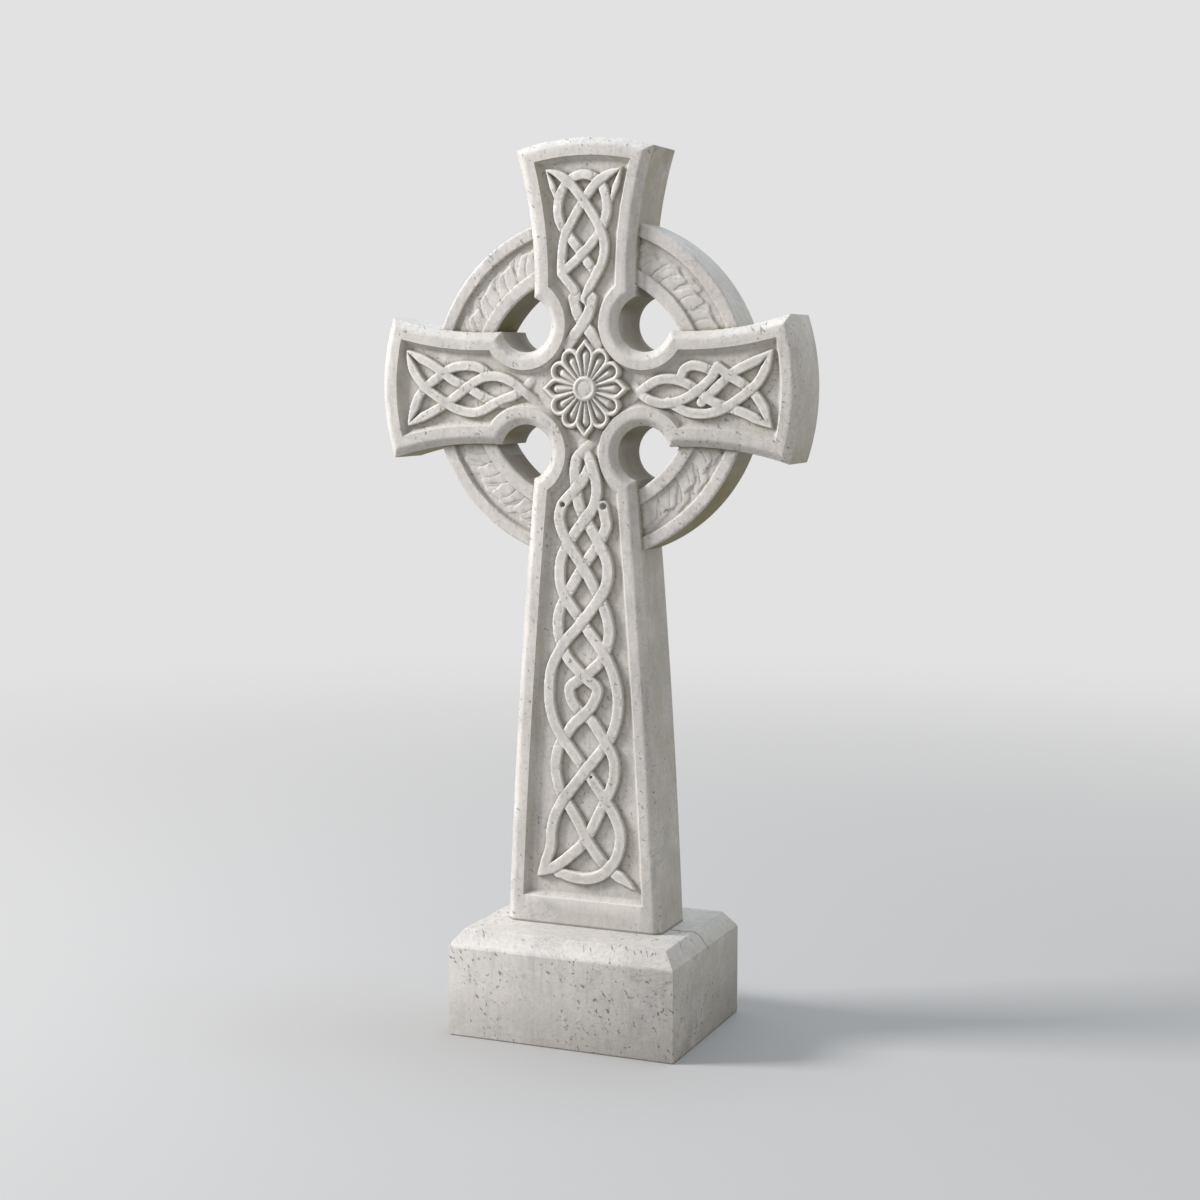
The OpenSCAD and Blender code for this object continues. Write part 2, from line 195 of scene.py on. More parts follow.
def spline(route, gap=0.8):
    """Catmull-Rom points through a route, about a gap apart."""
    p = np.array(route, float)
    p = np.vstack([2 * p[0] - p[1], p, 2 * p[-1] - p[-2]])
    out = []
    for a, b, c, d in zip(p[:-3], p[1:-2], p[2:-1], p[3:]):
        for t in np.linspace(0, 1, max(2, int(np.linalg.norm(c - b) / gap)), endpoint=False):
            out.append(0.5 * (2 * b + (c - a) * t + (2 * a - 5 * b + 4 * c - d) * t ** 2
                              + (3 * b - a - 3 * c + d) * t ** 3))
    return np.array(out + [p[-2]])


# How far a place lies inside each outline, in millimetres: positive within the stone.
def inside_head(x, z):
    ax = np.abs(x)
    flare = np.hypot(ax - HEAD_NECK - HEAD_FLARE_R, z - HEAD_NECK_Z) - HEAD_FLARE_R
    end = HEAD_END_R - np.hypot(x, z - (TOP_Z - HEAD_END_R))
    return np.where(z >= MID_Z, np.minimum(flare, end), OUTSIDE)


def inside_arms(x, z):
    ax, az = np.abs(x), np.abs(z - MID_Z)
    flare = np.hypot(ax - ARM_NECK_X, az - ARM_NECK - ARM_FLARE_R) - ARM_FLARE_R
    return np.minimum(flare, ARM_END_R - np.hypot(x, az))


def inside_shaft(x, z):
    f = (z - BASE_H) / (MID_Z - BASE_H)
    half = FOOT_HALF + (SHAFT_TOP_HALF - FOOT_HALF) * f + 4 * SHAFT_SWELL * f * (1 - f)
    return np.where(z <= MID_Z, half - np.abs(x), OUTSIDE)


def outside_pit(x, z):
    """Distance from the nearest round armpit hollow, negative within it."""
    return np.hypot(np.abs(x) - ARMPIT_OFF, np.abs(z - MID_Z) - ARMPIT_OFF) - ARMPIT_R


def inside_body(x, z):
    limbs = np.maximum(np.maximum(inside_head(x, z), inside_arms(x, z)), inside_shaft(x, z))
    return np.minimum(limbs, outside_pit(x, z))


def inside_ring(x, z):
    r = np.hypot(x, z - MID_Z)
    return np.minimum(r - RING_IN, RING_OUT - r)


def chamfer_fall(d):
    """Drop of the chamfered edge below the frame, its arris worn round."""
    a = CHAMFER - d
    return 0.5 * (a + np.sqrt(a * a + ARRIS_ROUND * ARRIS_ROUND))


def body_height(x, z):
    """Height of the body's front above the plain of its frame."""
    d = inside_body(x, z)
    h = -chamfer_fall(d)
    p = np.minimum(d - FRAME_EDGE, z - FOOT_BAND_Z)
    t = np.clip(p / WALL_RUN, 0, 1)
    return h - PANEL_DEPTH * (1 - (1 - t) ** 1.6)


def ring_height(x, z):
    """Height of the ring's front, with its borders and its running leaves."""
    r = np.hypot(x, z - MID_Z)
    h = -RING_SETBACK - RING_ARRIS * (1 - smooth(inside_ring(x, z) / RING_ARRIS_RUN))
    sunk = np.minimum(r - RING_IN - RING_IN_BORDER, RING_OUT - RING_OUT_BORDER - r)
    h = h - RING_BAND_DEPTH * smooth(sunk / RING_BAND_WALL)
    leaf = leaf_height(np.arctan2(z - MID_Z, x), r)
    return np.where(sunk > 0, np.maximum(h, -RING_SETBACK - RING_BAND_DEPTH + leaf), h)


def leaf_height(angle, r):
    """Flat lobed leaves in two layers, which lean as they spring from the ring's inner border."""
    up = r - (RING_IN + RING_IN_BORDER)
    pace = 2 * math.pi / LEAVES
    best = np.zeros_like(r)
    for layer, (shift, height, reach, wide) in enumerate(LEAF_LAYERS):
        turn = (angle + LEAF_LEAN * (up - LEAN_FROM) / LEAF_LINE_R) / pace + shift
        vary = LEAF_VARY[layer, np.floor(turn).astype(int) % LEAVES]
        along = (turn % 1.0 - 0.5) * pace * LEAF_LINE_R
        # A leaf is a strip with a round end, its edge drawn in and out by small lobes
        top = reach * (1 + 0.08 * vary[..., 0])
        rise = up - top + wide
        lobes = 1 + LOBE_DEPTH * np.cos(LOBES * np.arctan2(along, rise) + 1.5 * vary[..., 1])
        q = np.where(rise > 0, np.hypot(along, rise), np.abs(along)) / wide * lobes
        groove = np.abs(along - GROOVE_SWAY * np.sin(up / GROOVE_WAVE + vary[..., 1]))
        cut = GROOVE_DEPTH * np.exp(-(groove / GROOVE_HALF) ** 2) * (q < 0.75)
        blade = height * smooth((1.0 - q) / LEAF_EDGE) - cut
        best = np.where(q < 1.0, np.maximum(blade, best * (q > 0.93)), best)
    return best


def lay_strands(xs, zs):
    """The knotwork's height on the grid; far below the panel where there is none."""
    high = np.full((len(zs), len(xs)), NOWHERE)
    within_upper = np.full(high.shape, NOWHERE)
    for width, tips, unders, route in STRANDS:
        line = spline(route)
        run = np.concatenate([[0], np.cumsum(np.linalg.norm(np.diff(line, axis=0), axis=1))])
        half = np.full(len(line), width / 2)
        dip = np.zeros(len(line))
        for tip, away in zip(tips, (run, run[-1] - run)):
            if tip == POINTED:
                half *= POINT_SHARE + (1 - POINT_SHARE) * np.clip(away / TAPER_RUN, 0, 1) ** 0.8
            if tip == SINKS:
                dip = np.maximum(dip, SINK_DEPTH * np.clip(1 - away / SINK_RUN, 0, 1))
        for place in unders:
            away = np.linalg.norm(line - np.array(place, float), axis=1)
            dip = np.maximum(dip, KNOT_DIP * (1 - smooth((away - width * 0.45) / (width * 0.9))))
        for (x, z), w, low in zip(line, half, dip):
            reach = w + 2.5
            i0, i1 = np.searchsorted(xs, (x - reach, x + reach))
            j0, j1 = np.searchsorted(zs, (z - reach, z + reach))
            gap = w - np.hypot(xs[None, i0:i1] - x, zs[j0:j1, None] - z)
            h = KNOT_TOP - low - np.interp(gap, STRAND_AT, STRAND_FALL)
            high[j0:j1, i0:i1] = np.maximum(high[j0:j1, i0:i1], h)
            if low < 0.1 * KNOT_DIP:
                within_upper[j0:j1, i0:i1] = np.maximum(within_upper[j0:j1, i0:i1], gap)
    # A cut in the lower strand along each edge of the one that crosses over it
    lower = (high > KNOT_TOP - KNOT_DIP - 0.5) & (high < KNOT_TOP - 0.3 * KNOT_DIP)
    cut = np.clip(1 - np.abs(within_upper + 0.8) / CUT_WIDTH, 0, 1)
    return high - KNOT_CUT * cut * lower


def inside_petal(u, v, u0, r0, u1, r1):
    """Distance inside a rounded wedge that grows from r0 at u0 to r1 at u1 along u."""
    b = (r0 - r1) / (u1 - u0)
    a = math.sqrt(1 - b * b)
    w = np.abs(v)
    along = (u - u0) * a - w * b
    side = w * a + (u - u0) * b - r0
    near = np.hypot(u - u0, w) - r0
    far = np.hypot(u - u1, w) - r1
    return -np.where(along < 0, near, np.where(along > a * (u1 - u0), far, side))


def rosette_height(x, z):
    """Twelve hollowed petals, four of them pointed, around a dished boss."""
    r = np.hypot(x - ROSETTE_X, z - MID_Z) / BOSS
    across, up = (x - ROSETTE_X) / ROSETTE_W, (z - MID_Z) / ROSETTE_H
    high = np.full(x.shape, NOWHERE)
    for petal in range(PETALS):
        t = 2 * math.pi * petal / PETALS
        u = across * math.cos(t) + up * math.sin(t)
        v = -across * math.sin(t) + up * math.cos(t)
        if petal % 3 == 0:
            reach = POINTED_REACH
            e = np.maximum(inside_petal(u, v, *POINTED_PETAL), inside_petal(u, v, *PETAL_POINT))
        else:
            reach, e = ROUND_REACH, inside_petal(u, v, *ROUND_PETAL)
        far = np.clip((u - 14) / (reach - 14), 0, 1)
        # The carving inside a petal narrows with the petal towards the boss
        k = np.clip((3.4 + 10.2 * (u - 12) / 30) / 13.6, 0.28, 1)
        e, v = np.where(e > 0, e / k, e), v / k
        rim = np.interp(e, LIP_AT, LIP_HEIGHT)
        floor = -(HOLLOW_DEPTH + HOLLOW_AT_TIP * far ** 1.2)
        floor = floor * (HOLLOW_NARROW + (1 - HOLLOW_NARROW) * k)
        ridge = RIDGE_TOP - RIDGE_BEND * v ** 2 - RIDGE_DROP * smooth((far - RIDGE_TO) / RIDGE_RUN)
        dish = np.maximum(floor, np.where(e > RIDGE_FROM, ridge, NOWHERE))
        lip = np.where(e > LIP_TOP, np.maximum(rim, dish), rim)
        high = np.maximum(high, np.where(e > LIP_END, dish, lip))
    return np.maximum(high, np.interp(r, BOSS_AT, BOSS_HEIGHT))


def value_noise(shape, cells):
    """Smooth random bumps between -1 and 1, about the given number of cells across."""
    rows = max(2, int(cells * shape[0] / shape[1]))
    seed = rng.uniform(-1, 1, (rows + 2, cells + 2))
    j = np.linspace(0, rows, shape[0])
    i = np.linspace(0, cells, shape[1])
    j0, i0 = j.astype(int), i.astype(int)
    fj, fi = smooth(j - j0)[:, None], smooth(i - i0)[None, :]
    a = seed[j0][:, i0] * (1 - fi) + seed[j0][:, i0 + 1] * fi
    b = seed[j0 + 1][:, i0] * (1 - fi) + seed[j0 + 1][:, i0 + 1] * fi
    return a * (1 - fj) + b * fj


def blurred(field, n):
    """Box blur by running sums, in two passes, n cells to each side."""
    out = field
    for _ in range(2):
        for axis in (0, 1):
            pad = [(0, 0), (0, 0)]
            pad[axis] = (n + 1, n)
            c = np.cumsum(np.pad(out, pad, mode="edge"), axis=axis)
            size = 2 * n + 1
            lo = [slice(None)] * 2
            hi = [slice(None)] * 2
            lo[axis], hi[axis] = slice(0, -size), slice(size, None)
            out = (c[tuple(hi)] - c[tuple(lo)]) / size
    return out


def inside_stone(x, z):
    """Distance inside the whole outline, limbs and ring together."""
    return np.maximum(inside_body(x, z), inside_ring(x, z))


def slope(field, x, z, step=0.2):
    """Unit direction in which a field grows fastest."""
    gx = (field(x + step, z) - field(x - step, z)) / (2 * step)
    gz = (field(x, z + step) - field(x, z - step)) / (2 * step)
    size = np.maximum(np.hypot(gx, gz), 0.5)
    return gx / size, gz / size


def cross_fields():
    """Places and heights of the front's grid. Nodes near a main crease are drawn onto it."""
    xs = np.arange(-GRID_HALF, GRID_HALF + PITCH, PITCH)
    zs = np.arange(BASE_H, TOP_Z + 2 * PITCH, PITCH)
    X, Z = np.meshgrid(xs, zs)
    knots = lay_strands(xs, zs)
    d = inside_body(X, Z)
    gx, gz = slope(inside_body, X, Z)
    drawn = np.zeros(X.shape, bool)
    move = np.zeros_like(X)
    for crease in (0.0, FRAME_EDGE):
        near = np.abs(crease - d) < 0.5 * PITCH
        near &= (inside_ring(X, Z) > 2 * PITCH) if crease == 0.0 else (Z > BASE_H + PITCH)
        move = np.where(near, crease - d, move)
        drawn |= near
    X2, Z2 = X + move * gx, Z + move * gz
    at_band = (np.abs(Z2 - FOOT_BAND_Z) < 0.5 * PITCH) & (d > FRAME_EDGE - 0.5 * PITCH)
    Z2 = np.where(at_band, FOOT_BAND_Z, Z2)
    drawn |= at_band
    Z2[0] = BASE_H
    d2 = inside_body(X2, Z2)
    body = np.maximum(body_height(X2, Z2), np.where(d2 > FRAME_EDGE, knots, NOWHERE))
    near_middle = np.hypot(X2, Z2 - MID_Z) < ROSETTE_ZONE
    body = np.where(near_middle, np.maximum(body, rosette_height(X2, Z2)), body)
    for ex, ez, er in EYES:
        q = np.hypot(X2 - ex, Z2 - ez) / er
        hole = EYE_FLOOR + EYE_RISE * np.clip(q, 0, 1.4) ** 3
        body = np.where(q < 1.4, np.minimum(body, hole), body)
    h = np.where(d2 > -SLACK, body, ring_height(X2, Z2))
    # Faint unevenness, everywhere below the frame's plain
    wear = sum(high * value_noise(h.shape, cells) for high, cells in WEAR)
    return X2, Z2, h + wear * (h < -0.4), inside_stone(X2, Z2), drawn


def marching(X, Z, inside, drawn):
    """Triangles of the region where inside is positive, cut cleanly along its edge."""
    rows, cols = X.shape
    ids = np.arange(rows * cols).reshape(rows, cols)
    a, b, c, d = ids[:-1, :-1], ids[:-1, 1:], ids[1:, 1:], ids[1:, :-1]
    turn = ((np.arange(rows - 1)[:, None] + np.arange(cols - 1)[None, :]) % 2).astype(bool)
    # A cell's diagonal follows two nodes that were drawn onto a crease
    rising, falling = drawn[:-1, :-1] & drawn[1:, 1:], drawn[:-1, 1:] & drawn[1:, :-1]
    turn = rising | (turn & ~falling)
    t1 = np.where(turn[..., None], np.stack([a, b, c], -1), np.stack([a, b, d], -1))
    t2 = np.where(turn[..., None], np.stack([a, c, d], -1), np.stack([b, c, d], -1))
    tris = np.concatenate([t1.reshape(-1, 3), t2.reshape(-1, 3)])
    # Sorted by how many corners lie inside; the odd corner out comes first, or follows the pair
    v = inside.ravel()
    s = v[tris] > 0
    n = s.sum(1)
    full = tris[n == 3]
    one = tris[n == 1]
    k = np.argmax(s[n == 1], 1)
    one = one[np.arange(len(one))[:, None], (k[:, None] + np.arange(3)) % 3]
    two = tris[n == 2]
    k = np.argmin(s[n == 2], 1) + 1
    two = two[np.arange(len(two))[:, None], (k[:, None] + np.arange(3)) % 3]
    cuts = np.concatenate([one[:, [0, 1]], one[:, [0, 2]], two[:, [1, 2]], two[:, [0, 2]]])
    key, inverse = np.unique(np.sort(cuts, 1), axis=0, return_inverse=True)
    inverse = inverse.ravel() + rows * cols
    m1, m2 = len(one), len(two)
    ab, ac = inverse[:m1], inverse[m1:2 * m1]
    bc, ad = inverse[2 * m1:2 * m1 + m2], inverse[2 * m1 + m2:]
    faces = np.concatenate([
        full,
        np.stack([one[:, 0], ab, ac], 1),
        np.stack([two[:, 0], two[:, 1], bc], 1),
        np.stack([two[:, 0], bc, ad], 1),
    ])
    # Each cut edge gets one point where the outline crosses it, then moved right onto the outline
    p, q = key[:, 0], key[:, 1]
    t = v[p] / (v[p] - v[q])
    x = X.ravel()[p] + t * (X.ravel()[q] - X.ravel()[p])
    z = Z.ravel()[p] + t * (Z.ravel()[q] - Z.ravel()[p])
    foot = z < BASE_H + 1e-6
    for _ in range(2):
        gx, gz = slope(inside_stone, x, z)
        off = np.clip(inside_stone(x, z), -0.3, 0.3)
        x, z = x - off * gx, np.where(foot, BASE_H, z - off * gz)
    return np.concatenate([X.ravel(), x]), np.concatenate([Z.ravel(), z]), faces


def make_mesh(name, verts, faces):
    """A mesh from arrays of points in millimetres and of triangles."""
    mesh = bpy.data.meshes.new(name)
    mesh.vertices.add(len(verts))
    mesh.vertices.foreach_set("co", (np.asarray(verts) * MM).astype(np.float32).ravel())
    mesh.loops.add(len(faces) * 3)
    mesh.loops.foreach_set("vertex_index", np.asarray(faces, np.int32).ravel())
    mesh.polygons.add(len(faces))
    mesh.polygons.foreach_set("loop_start", np.arange(0, len(faces) * 3, 3, dtype=np.int32))
    mesh.update(calc_edges=True)
    mesh.validate()
    return mesh


def points_of(mesh):
    """The mesh's points in millimetres, as three rows: across, depth, height."""
    co = np.zeros(len(mesh.vertices) * 3)
    mesh.vertices.foreach_get("co", co)
    return co.reshape(-1, 3).T / MM


def in_scene(name, data):
    obj = bpy.data.objects.new(name, data)
    bpy.context.collection.objects.link(obj)
    return obj


def settled(obj, name):
    """Replaces an object by a plain one with the mesh that its modifiers leave."""
    graph = bpy.context.evaluated_depsgraph_get()
    mesh = bpy.data.meshes.new_from_object(obj.evaluated_get(graph))
    bpy.data.objects.remove(obj)
    mesh.name = name
    return in_scene(name, mesh)


def rim_edges(tri, count):
    """Edges that belong to one triangle only, in that triangle's direction."""
    edges = np.concatenate([tri[:, [0, 1]], tri[:, [1, 2]], tri[:, [2, 0]]])
    code = np.sort(edges, 1)
    code = code[:, 0].astype(np.int64) * count + code[:, 1]
    _, first, times_used = np.unique(code, return_index=True, return_counts=True)
    return edges[first[times_used == 1]]


def build_cross():
    """The carved front, the plain back and the walls between them, thinned away from the creases."""
    X, Z, H, inside, drawn = cross_fields()
    x, z, tri = marching(X, Z, inside, drawn)
    ex, ez = x[X.size:], z[X.size:]
    on_body = inside_body(ex, ez) > inside_ring(ex, ez)
    h = np.concatenate([H.ravel(), np.where(on_body, body_height(ex, ez), ring_height(ex, ez))])
    used = np.unique(tri)
    remap = np.zeros(len(x), int)
    remap[used] = np.arange(len(used))
    tri = remap[tri]
    x, z, h = x[used], z[used], h[used]
    kept = np.concatenate([drawn.ravel(), np.ones(len(ex), bool)])[used]
    d = inside_body(x, z)
    back = np.where(d > -SLACK, -chamfer_fall(np.maximum(d, 0)), -RING_SETBACK)
    n = len(x)
    rim = rim_edges(tri, n)
    kept[rim.ravel()] = True
    p, q = rim[:, 0], rim[:, 1]
    faces = [tri, tri[:, ::-1] + n, np.stack([q, p, p + n], 1), np.stack([q, p + n, q + n], 1)]
    verts = [np.stack([x, -HALF_T - h, z], 1), np.stack([x, HALF_T + back, z], 1)]
    mesh = make_mesh("cross_dense", np.concatenate(verts), np.concatenate(faces))
    dense = in_scene("cross_dense", mesh)
    # Only the loose points are thinned; creases and rims stay exactly in place
    loose = dense.vertex_groups.new(name="loose")
    free = np.flatnonzero(~np.concatenate([kept, kept & (d < CHAMFER + 1)]))
    loose.add(free.tolist(), 1.0, "REPLACE")
    thin = dense.modifiers.new("thin", "DECIMATE")
    thin.vertex_group = "loose"
    thin.ratio = min(1.0, CROSS_TRIANGLES / len(mesh.polygons))
    obj = settled(dense, "cross_stone")
    paint_dirt_shade_and_highlight(obj.data, H)
    crisp_creases(obj.data)
    return obj


def crisp_creases(mesh):
    """Marks the arrises of the limbs and sides sharp, and leaves the carving softly shaded."""
    count = len(mesh.edges)
    steep, sharp = np.zeros(count, bool), np.zeros(count, bool)
    for limit, flags in ((STEEP, steep), (SHARP, sharp)):
        mesh.set_sharp_from_angle(angle=math.radians(limit))
        mesh.attributes["sharp_edge"].data.foreach_get("value", flags)
    x, y, z = points_of(mesh)
    d = inside_body(x, z)
    at_crease = np.abs(inside_stone(x, z)) < 0.1
    for crease in (0.0, FRAME_EDGE):
        at_crease |= np.abs(d - crease) < 0.1
    at_crease |= np.abs(z - FOOT_BAND_Z) < 0.05
    at_crease |= (y > -HALF_T + 2 * RING_SETBACK) | (z < BASE_H + 0.01)
    ends = np.zeros(len(mesh.edges) * 2, np.int32)
    mesh.edges.foreach_get("vertices", ends)
    ends = ends.reshape(-1, 2)
    sharp &= steep | (at_crease[ends[:, 0]] & at_crease[ends[:, 1]])
    mesh.attributes["sharp_edge"].data.foreach_set("value", sharp)


def paint_dirt_shade_and_highlight(mesh, H):
    """Stores where dirt gathers and painted shade falls in the carving's hollows, and where the carving's
    edges are rubbed pale and carry a painted highlight (ridge).
    """
    x, y, z = points_of(mesh)
    near = blurred(H, max(1, round(DIRT_SHADE_NEAR / PITCH))) - H
    wide = blurred(H, max(1, round(DIRT_SHADE_WIDE / PITCH))) - H
    i = np.clip(((x + GRID_HALF) / PITCH).round().astype(int), 0, H.shape[1] - 1)
    j = np.clip(((z - BASE_H) / PITCH).round().astype(int), 0, H.shape[0] - 1)
    on_front = y < -HALF_T + RING_SETBACK + RING_BAND_DEPTH + 1.0
    on_front &= inside_stone(x, z) > 1.0
    # Painted shade, together with dirt, where the carving lies below its surroundings
    dirt_and_shade = np.clip(near[j, i] * 0.26 + wide[j, i] * 0.02 - 0.10, 0, 0.85) * on_front
    # The walls of the round hollows get the full dirt and painted shade
    in_pit = outside_pit(x, z) < 0.3
    dirt_and_shade = np.where(in_pit & (y > 0), 1.0, dirt_and_shade)
    carved = on_front & (inside_body(x, z) > FRAME_EDGE + 3)
    # Edges that stand above their surroundings are rubbed pale and get a painted highlight
    ridge = np.clip(-near[j, i] * 0.5 - 0.15, 0, 1) * carved
    for name, value in (("dirt_and_shade", dirt_and_shade), ("ridge", ridge)):
        layer = mesh.attributes.new(name, "FLOAT", "POINT")
        layer.data.foreach_set("value", value.astype(np.float32))


def build_plinth():
    """The block, its arrises a little worn."""
    hw, hd, sh = BASE_W / 2, BASE_D / 2, BASE_H - WEATHER_RISE
    outline = [(hw, hd), (-hw, hd), (-hw, -hd), (hw, -hd)]
    top = [(x - math.copysign(WEATHER_RUN, x), y - math.copysign(WEATHER_RUN, y)) for x, y in outline]
    levels = ((outline, 0), (outline, sh), (top, BASE_H))
    verts = [(x, y, z) for corners, z in levels for x, y in corners]
    mesh = bpy.data.meshes.new("plinth_raw")
    faces = [(3, 2, 1, 0), (8, 9, 10, 11)]
    for k in range(4):
        m = (k + 1) % 4
        faces += [(k, m, 4 + m, 4 + k), (4 + k, 4 + m, 8 + m, 8 + k)]
    mesh.from_pydata([tuple(c * MM for c in v) for v in verts], [], faces)
    obj = in_scene("plinth_raw", mesh)
    worn = obj.modifiers.new("arris", "BEVEL")
    worn.width = PLINTH_ARRIS * MM
    worn.segments = 4
    worn.limit_method = "ANGLE"
    worn.angle_limit = math.radians(20)
    worn.harden_normals = True
    return settled(obj, "plinth_stone")


# Materials
def connect(tree, value, socket):
    """Links an output to a socket, or sets the socket to a plain value."""
    if isinstance(value, bpy.types.NodeSocket):
        tree.links.new(value, socket)
    elif isinstance(value, (int, float)):
        socket.default_value = value
    else:
        socket.default_value = (*value, 1.0)


def mix(tree, factor, a, b):
    """Colour a where the factor is 0, b where it is 1."""
    made = tree.nodes.new("ShaderNodeMix")
    made.data_type = "RGBA"
    for value, socket in ((factor, made.inputs[0]), (a, made.inputs[6]), (b, made.inputs[7])):
        connect(tree, value, socket)
    return made.outputs[2]


def maths(tree, kind, a, b=0.0):
    """A sum on outputs or plain values, of the kind that Blender's math node names."""
    made = tree.nodes.new("ShaderNodeMath")
    made.operation = kind
    connect(tree, a, made.inputs[0])
    connect(tree, b, made.inputs[1])
    return made.outputs[0]


def times(tree, a, b):
    return maths(tree, "MULTIPLY", a, b)


def spread(tree, value, low, high, to_low=0.0, to_high=1.0):
    """A soft step: to_low where the value is at low, to_high where it is at high."""
    made = tree.nodes.new("ShaderNodeMapRange")
    made.interpolation_type = "SMOOTHSTEP"
    tree.links.new(value, made.inputs[0])
    for k, v in enumerate((low, high, to_low, to_high)):
        made.inputs[k + 1].default_value = v
    return made.outputs[0]


def noise(tree, where, scale, detail, rough, stretch=None, twist=0.0, slant=0.0):
    """Fractal noise, drawn out by stretch along each axis and leant over by slant."""
    place = where
    if stretch:
        mapped = tree.nodes.new("ShaderNodeMapping")
        mapped.vector_type = "TEXTURE"
        mapped.inputs["Rotation"].default_value = (slant, slant, 0.0)
        mapped.inputs["Scale"].default_value = [1 / v for v in stretch]
        tree.links.new(where, mapped.inputs[0])
        place = mapped.outputs[0]
    made = tree.nodes.new("ShaderNodeTexNoise")
    made.inputs["Scale"].default_value = scale
    made.inputs["Detail"].default_value = detail
    made.inputs["Roughness"].default_value = rough
    made.inputs["Distortion"].default_value = twist
    tree.links.new(place, made.inputs["Vector"])
    return made.outputs["Fac"]


# Linear colours of the stone, of what has settled on it, and of painted shade and highlight
STONE = (0.476, 0.449, 0.421)
RUBBED_AND_HIGHLIGHT = (0.640, 0.622, 0.590)
GREY_PATCH = (0.335, 0.335, 0.340)
FLECK = (0.135, 0.130, 0.125)
UNDERSIDE_SHADE = (0.175, 0.152, 0.058)
SIDE_STAIN_AND_SHADE = (0.30, 0.275, 0.205)
DIRT_AND_SHADE = (0.205, 0.180, 0.128)
DARKER_LOW = (0.250, 0.238, 0.220)
# Fine grain, upright brush marks and pale mottling: the noise's scale and stretch, where it sets
# in and is full, its strength, and its colour as a share of the stone's
FIGURE = (
    (260.0, None, 0.42, 0.62, 0.20, 0.62),
    (150.0, (1.0, 1.0, 0.12), 0.48, 0.66, 0.26, 0.60),
    (95.0, None, 0.52, 0.64, 0.20, 1.25),
)
FLECK_SLANT = math.radians(-38)


def painted(tree, name):
    """What paint_dirt_shade_and_highlight stored on the mesh."""
    made = tree.nodes.new("ShaderNodeAttribute")
    made.attribute_name = name
    return made.outputs["Fac"]


def shade(colour, by):
    """The colour made darker or lighter."""
    return [c * by for c in colour]


def hairline_strength(tree, where, place):
    """The dark hairline from the right of the cross's foot down over the weathering, in metres."""
    across, up = place.outputs["X"], place.outputs["Z"]
    path = spread(tree, across, 0.132, 0.166, -0.0105, 0.0045)
    wander = times(tree, maths(tree, "SUBTRACT", noise(tree, where, 60.0, 3.0, 0.6), 0.5), 0.012)
    off = maths(tree, "ADD", maths(tree, "SUBTRACT", place.outputs["Y"], path), wander)
    width = spread(tree, across, 0.136, 0.156, 0.0042, 0.0017)
    strength = spread(tree, maths(tree, "DIVIDE", maths(tree, "ABSOLUTE", off), width), 0.3, 1.0, 0.80, 0.0)
    strength = times(tree, strength, spread(tree, across, 0.100, 0.112))
    return times(tree, strength, spread(tree, up, 0.116, 0.124))


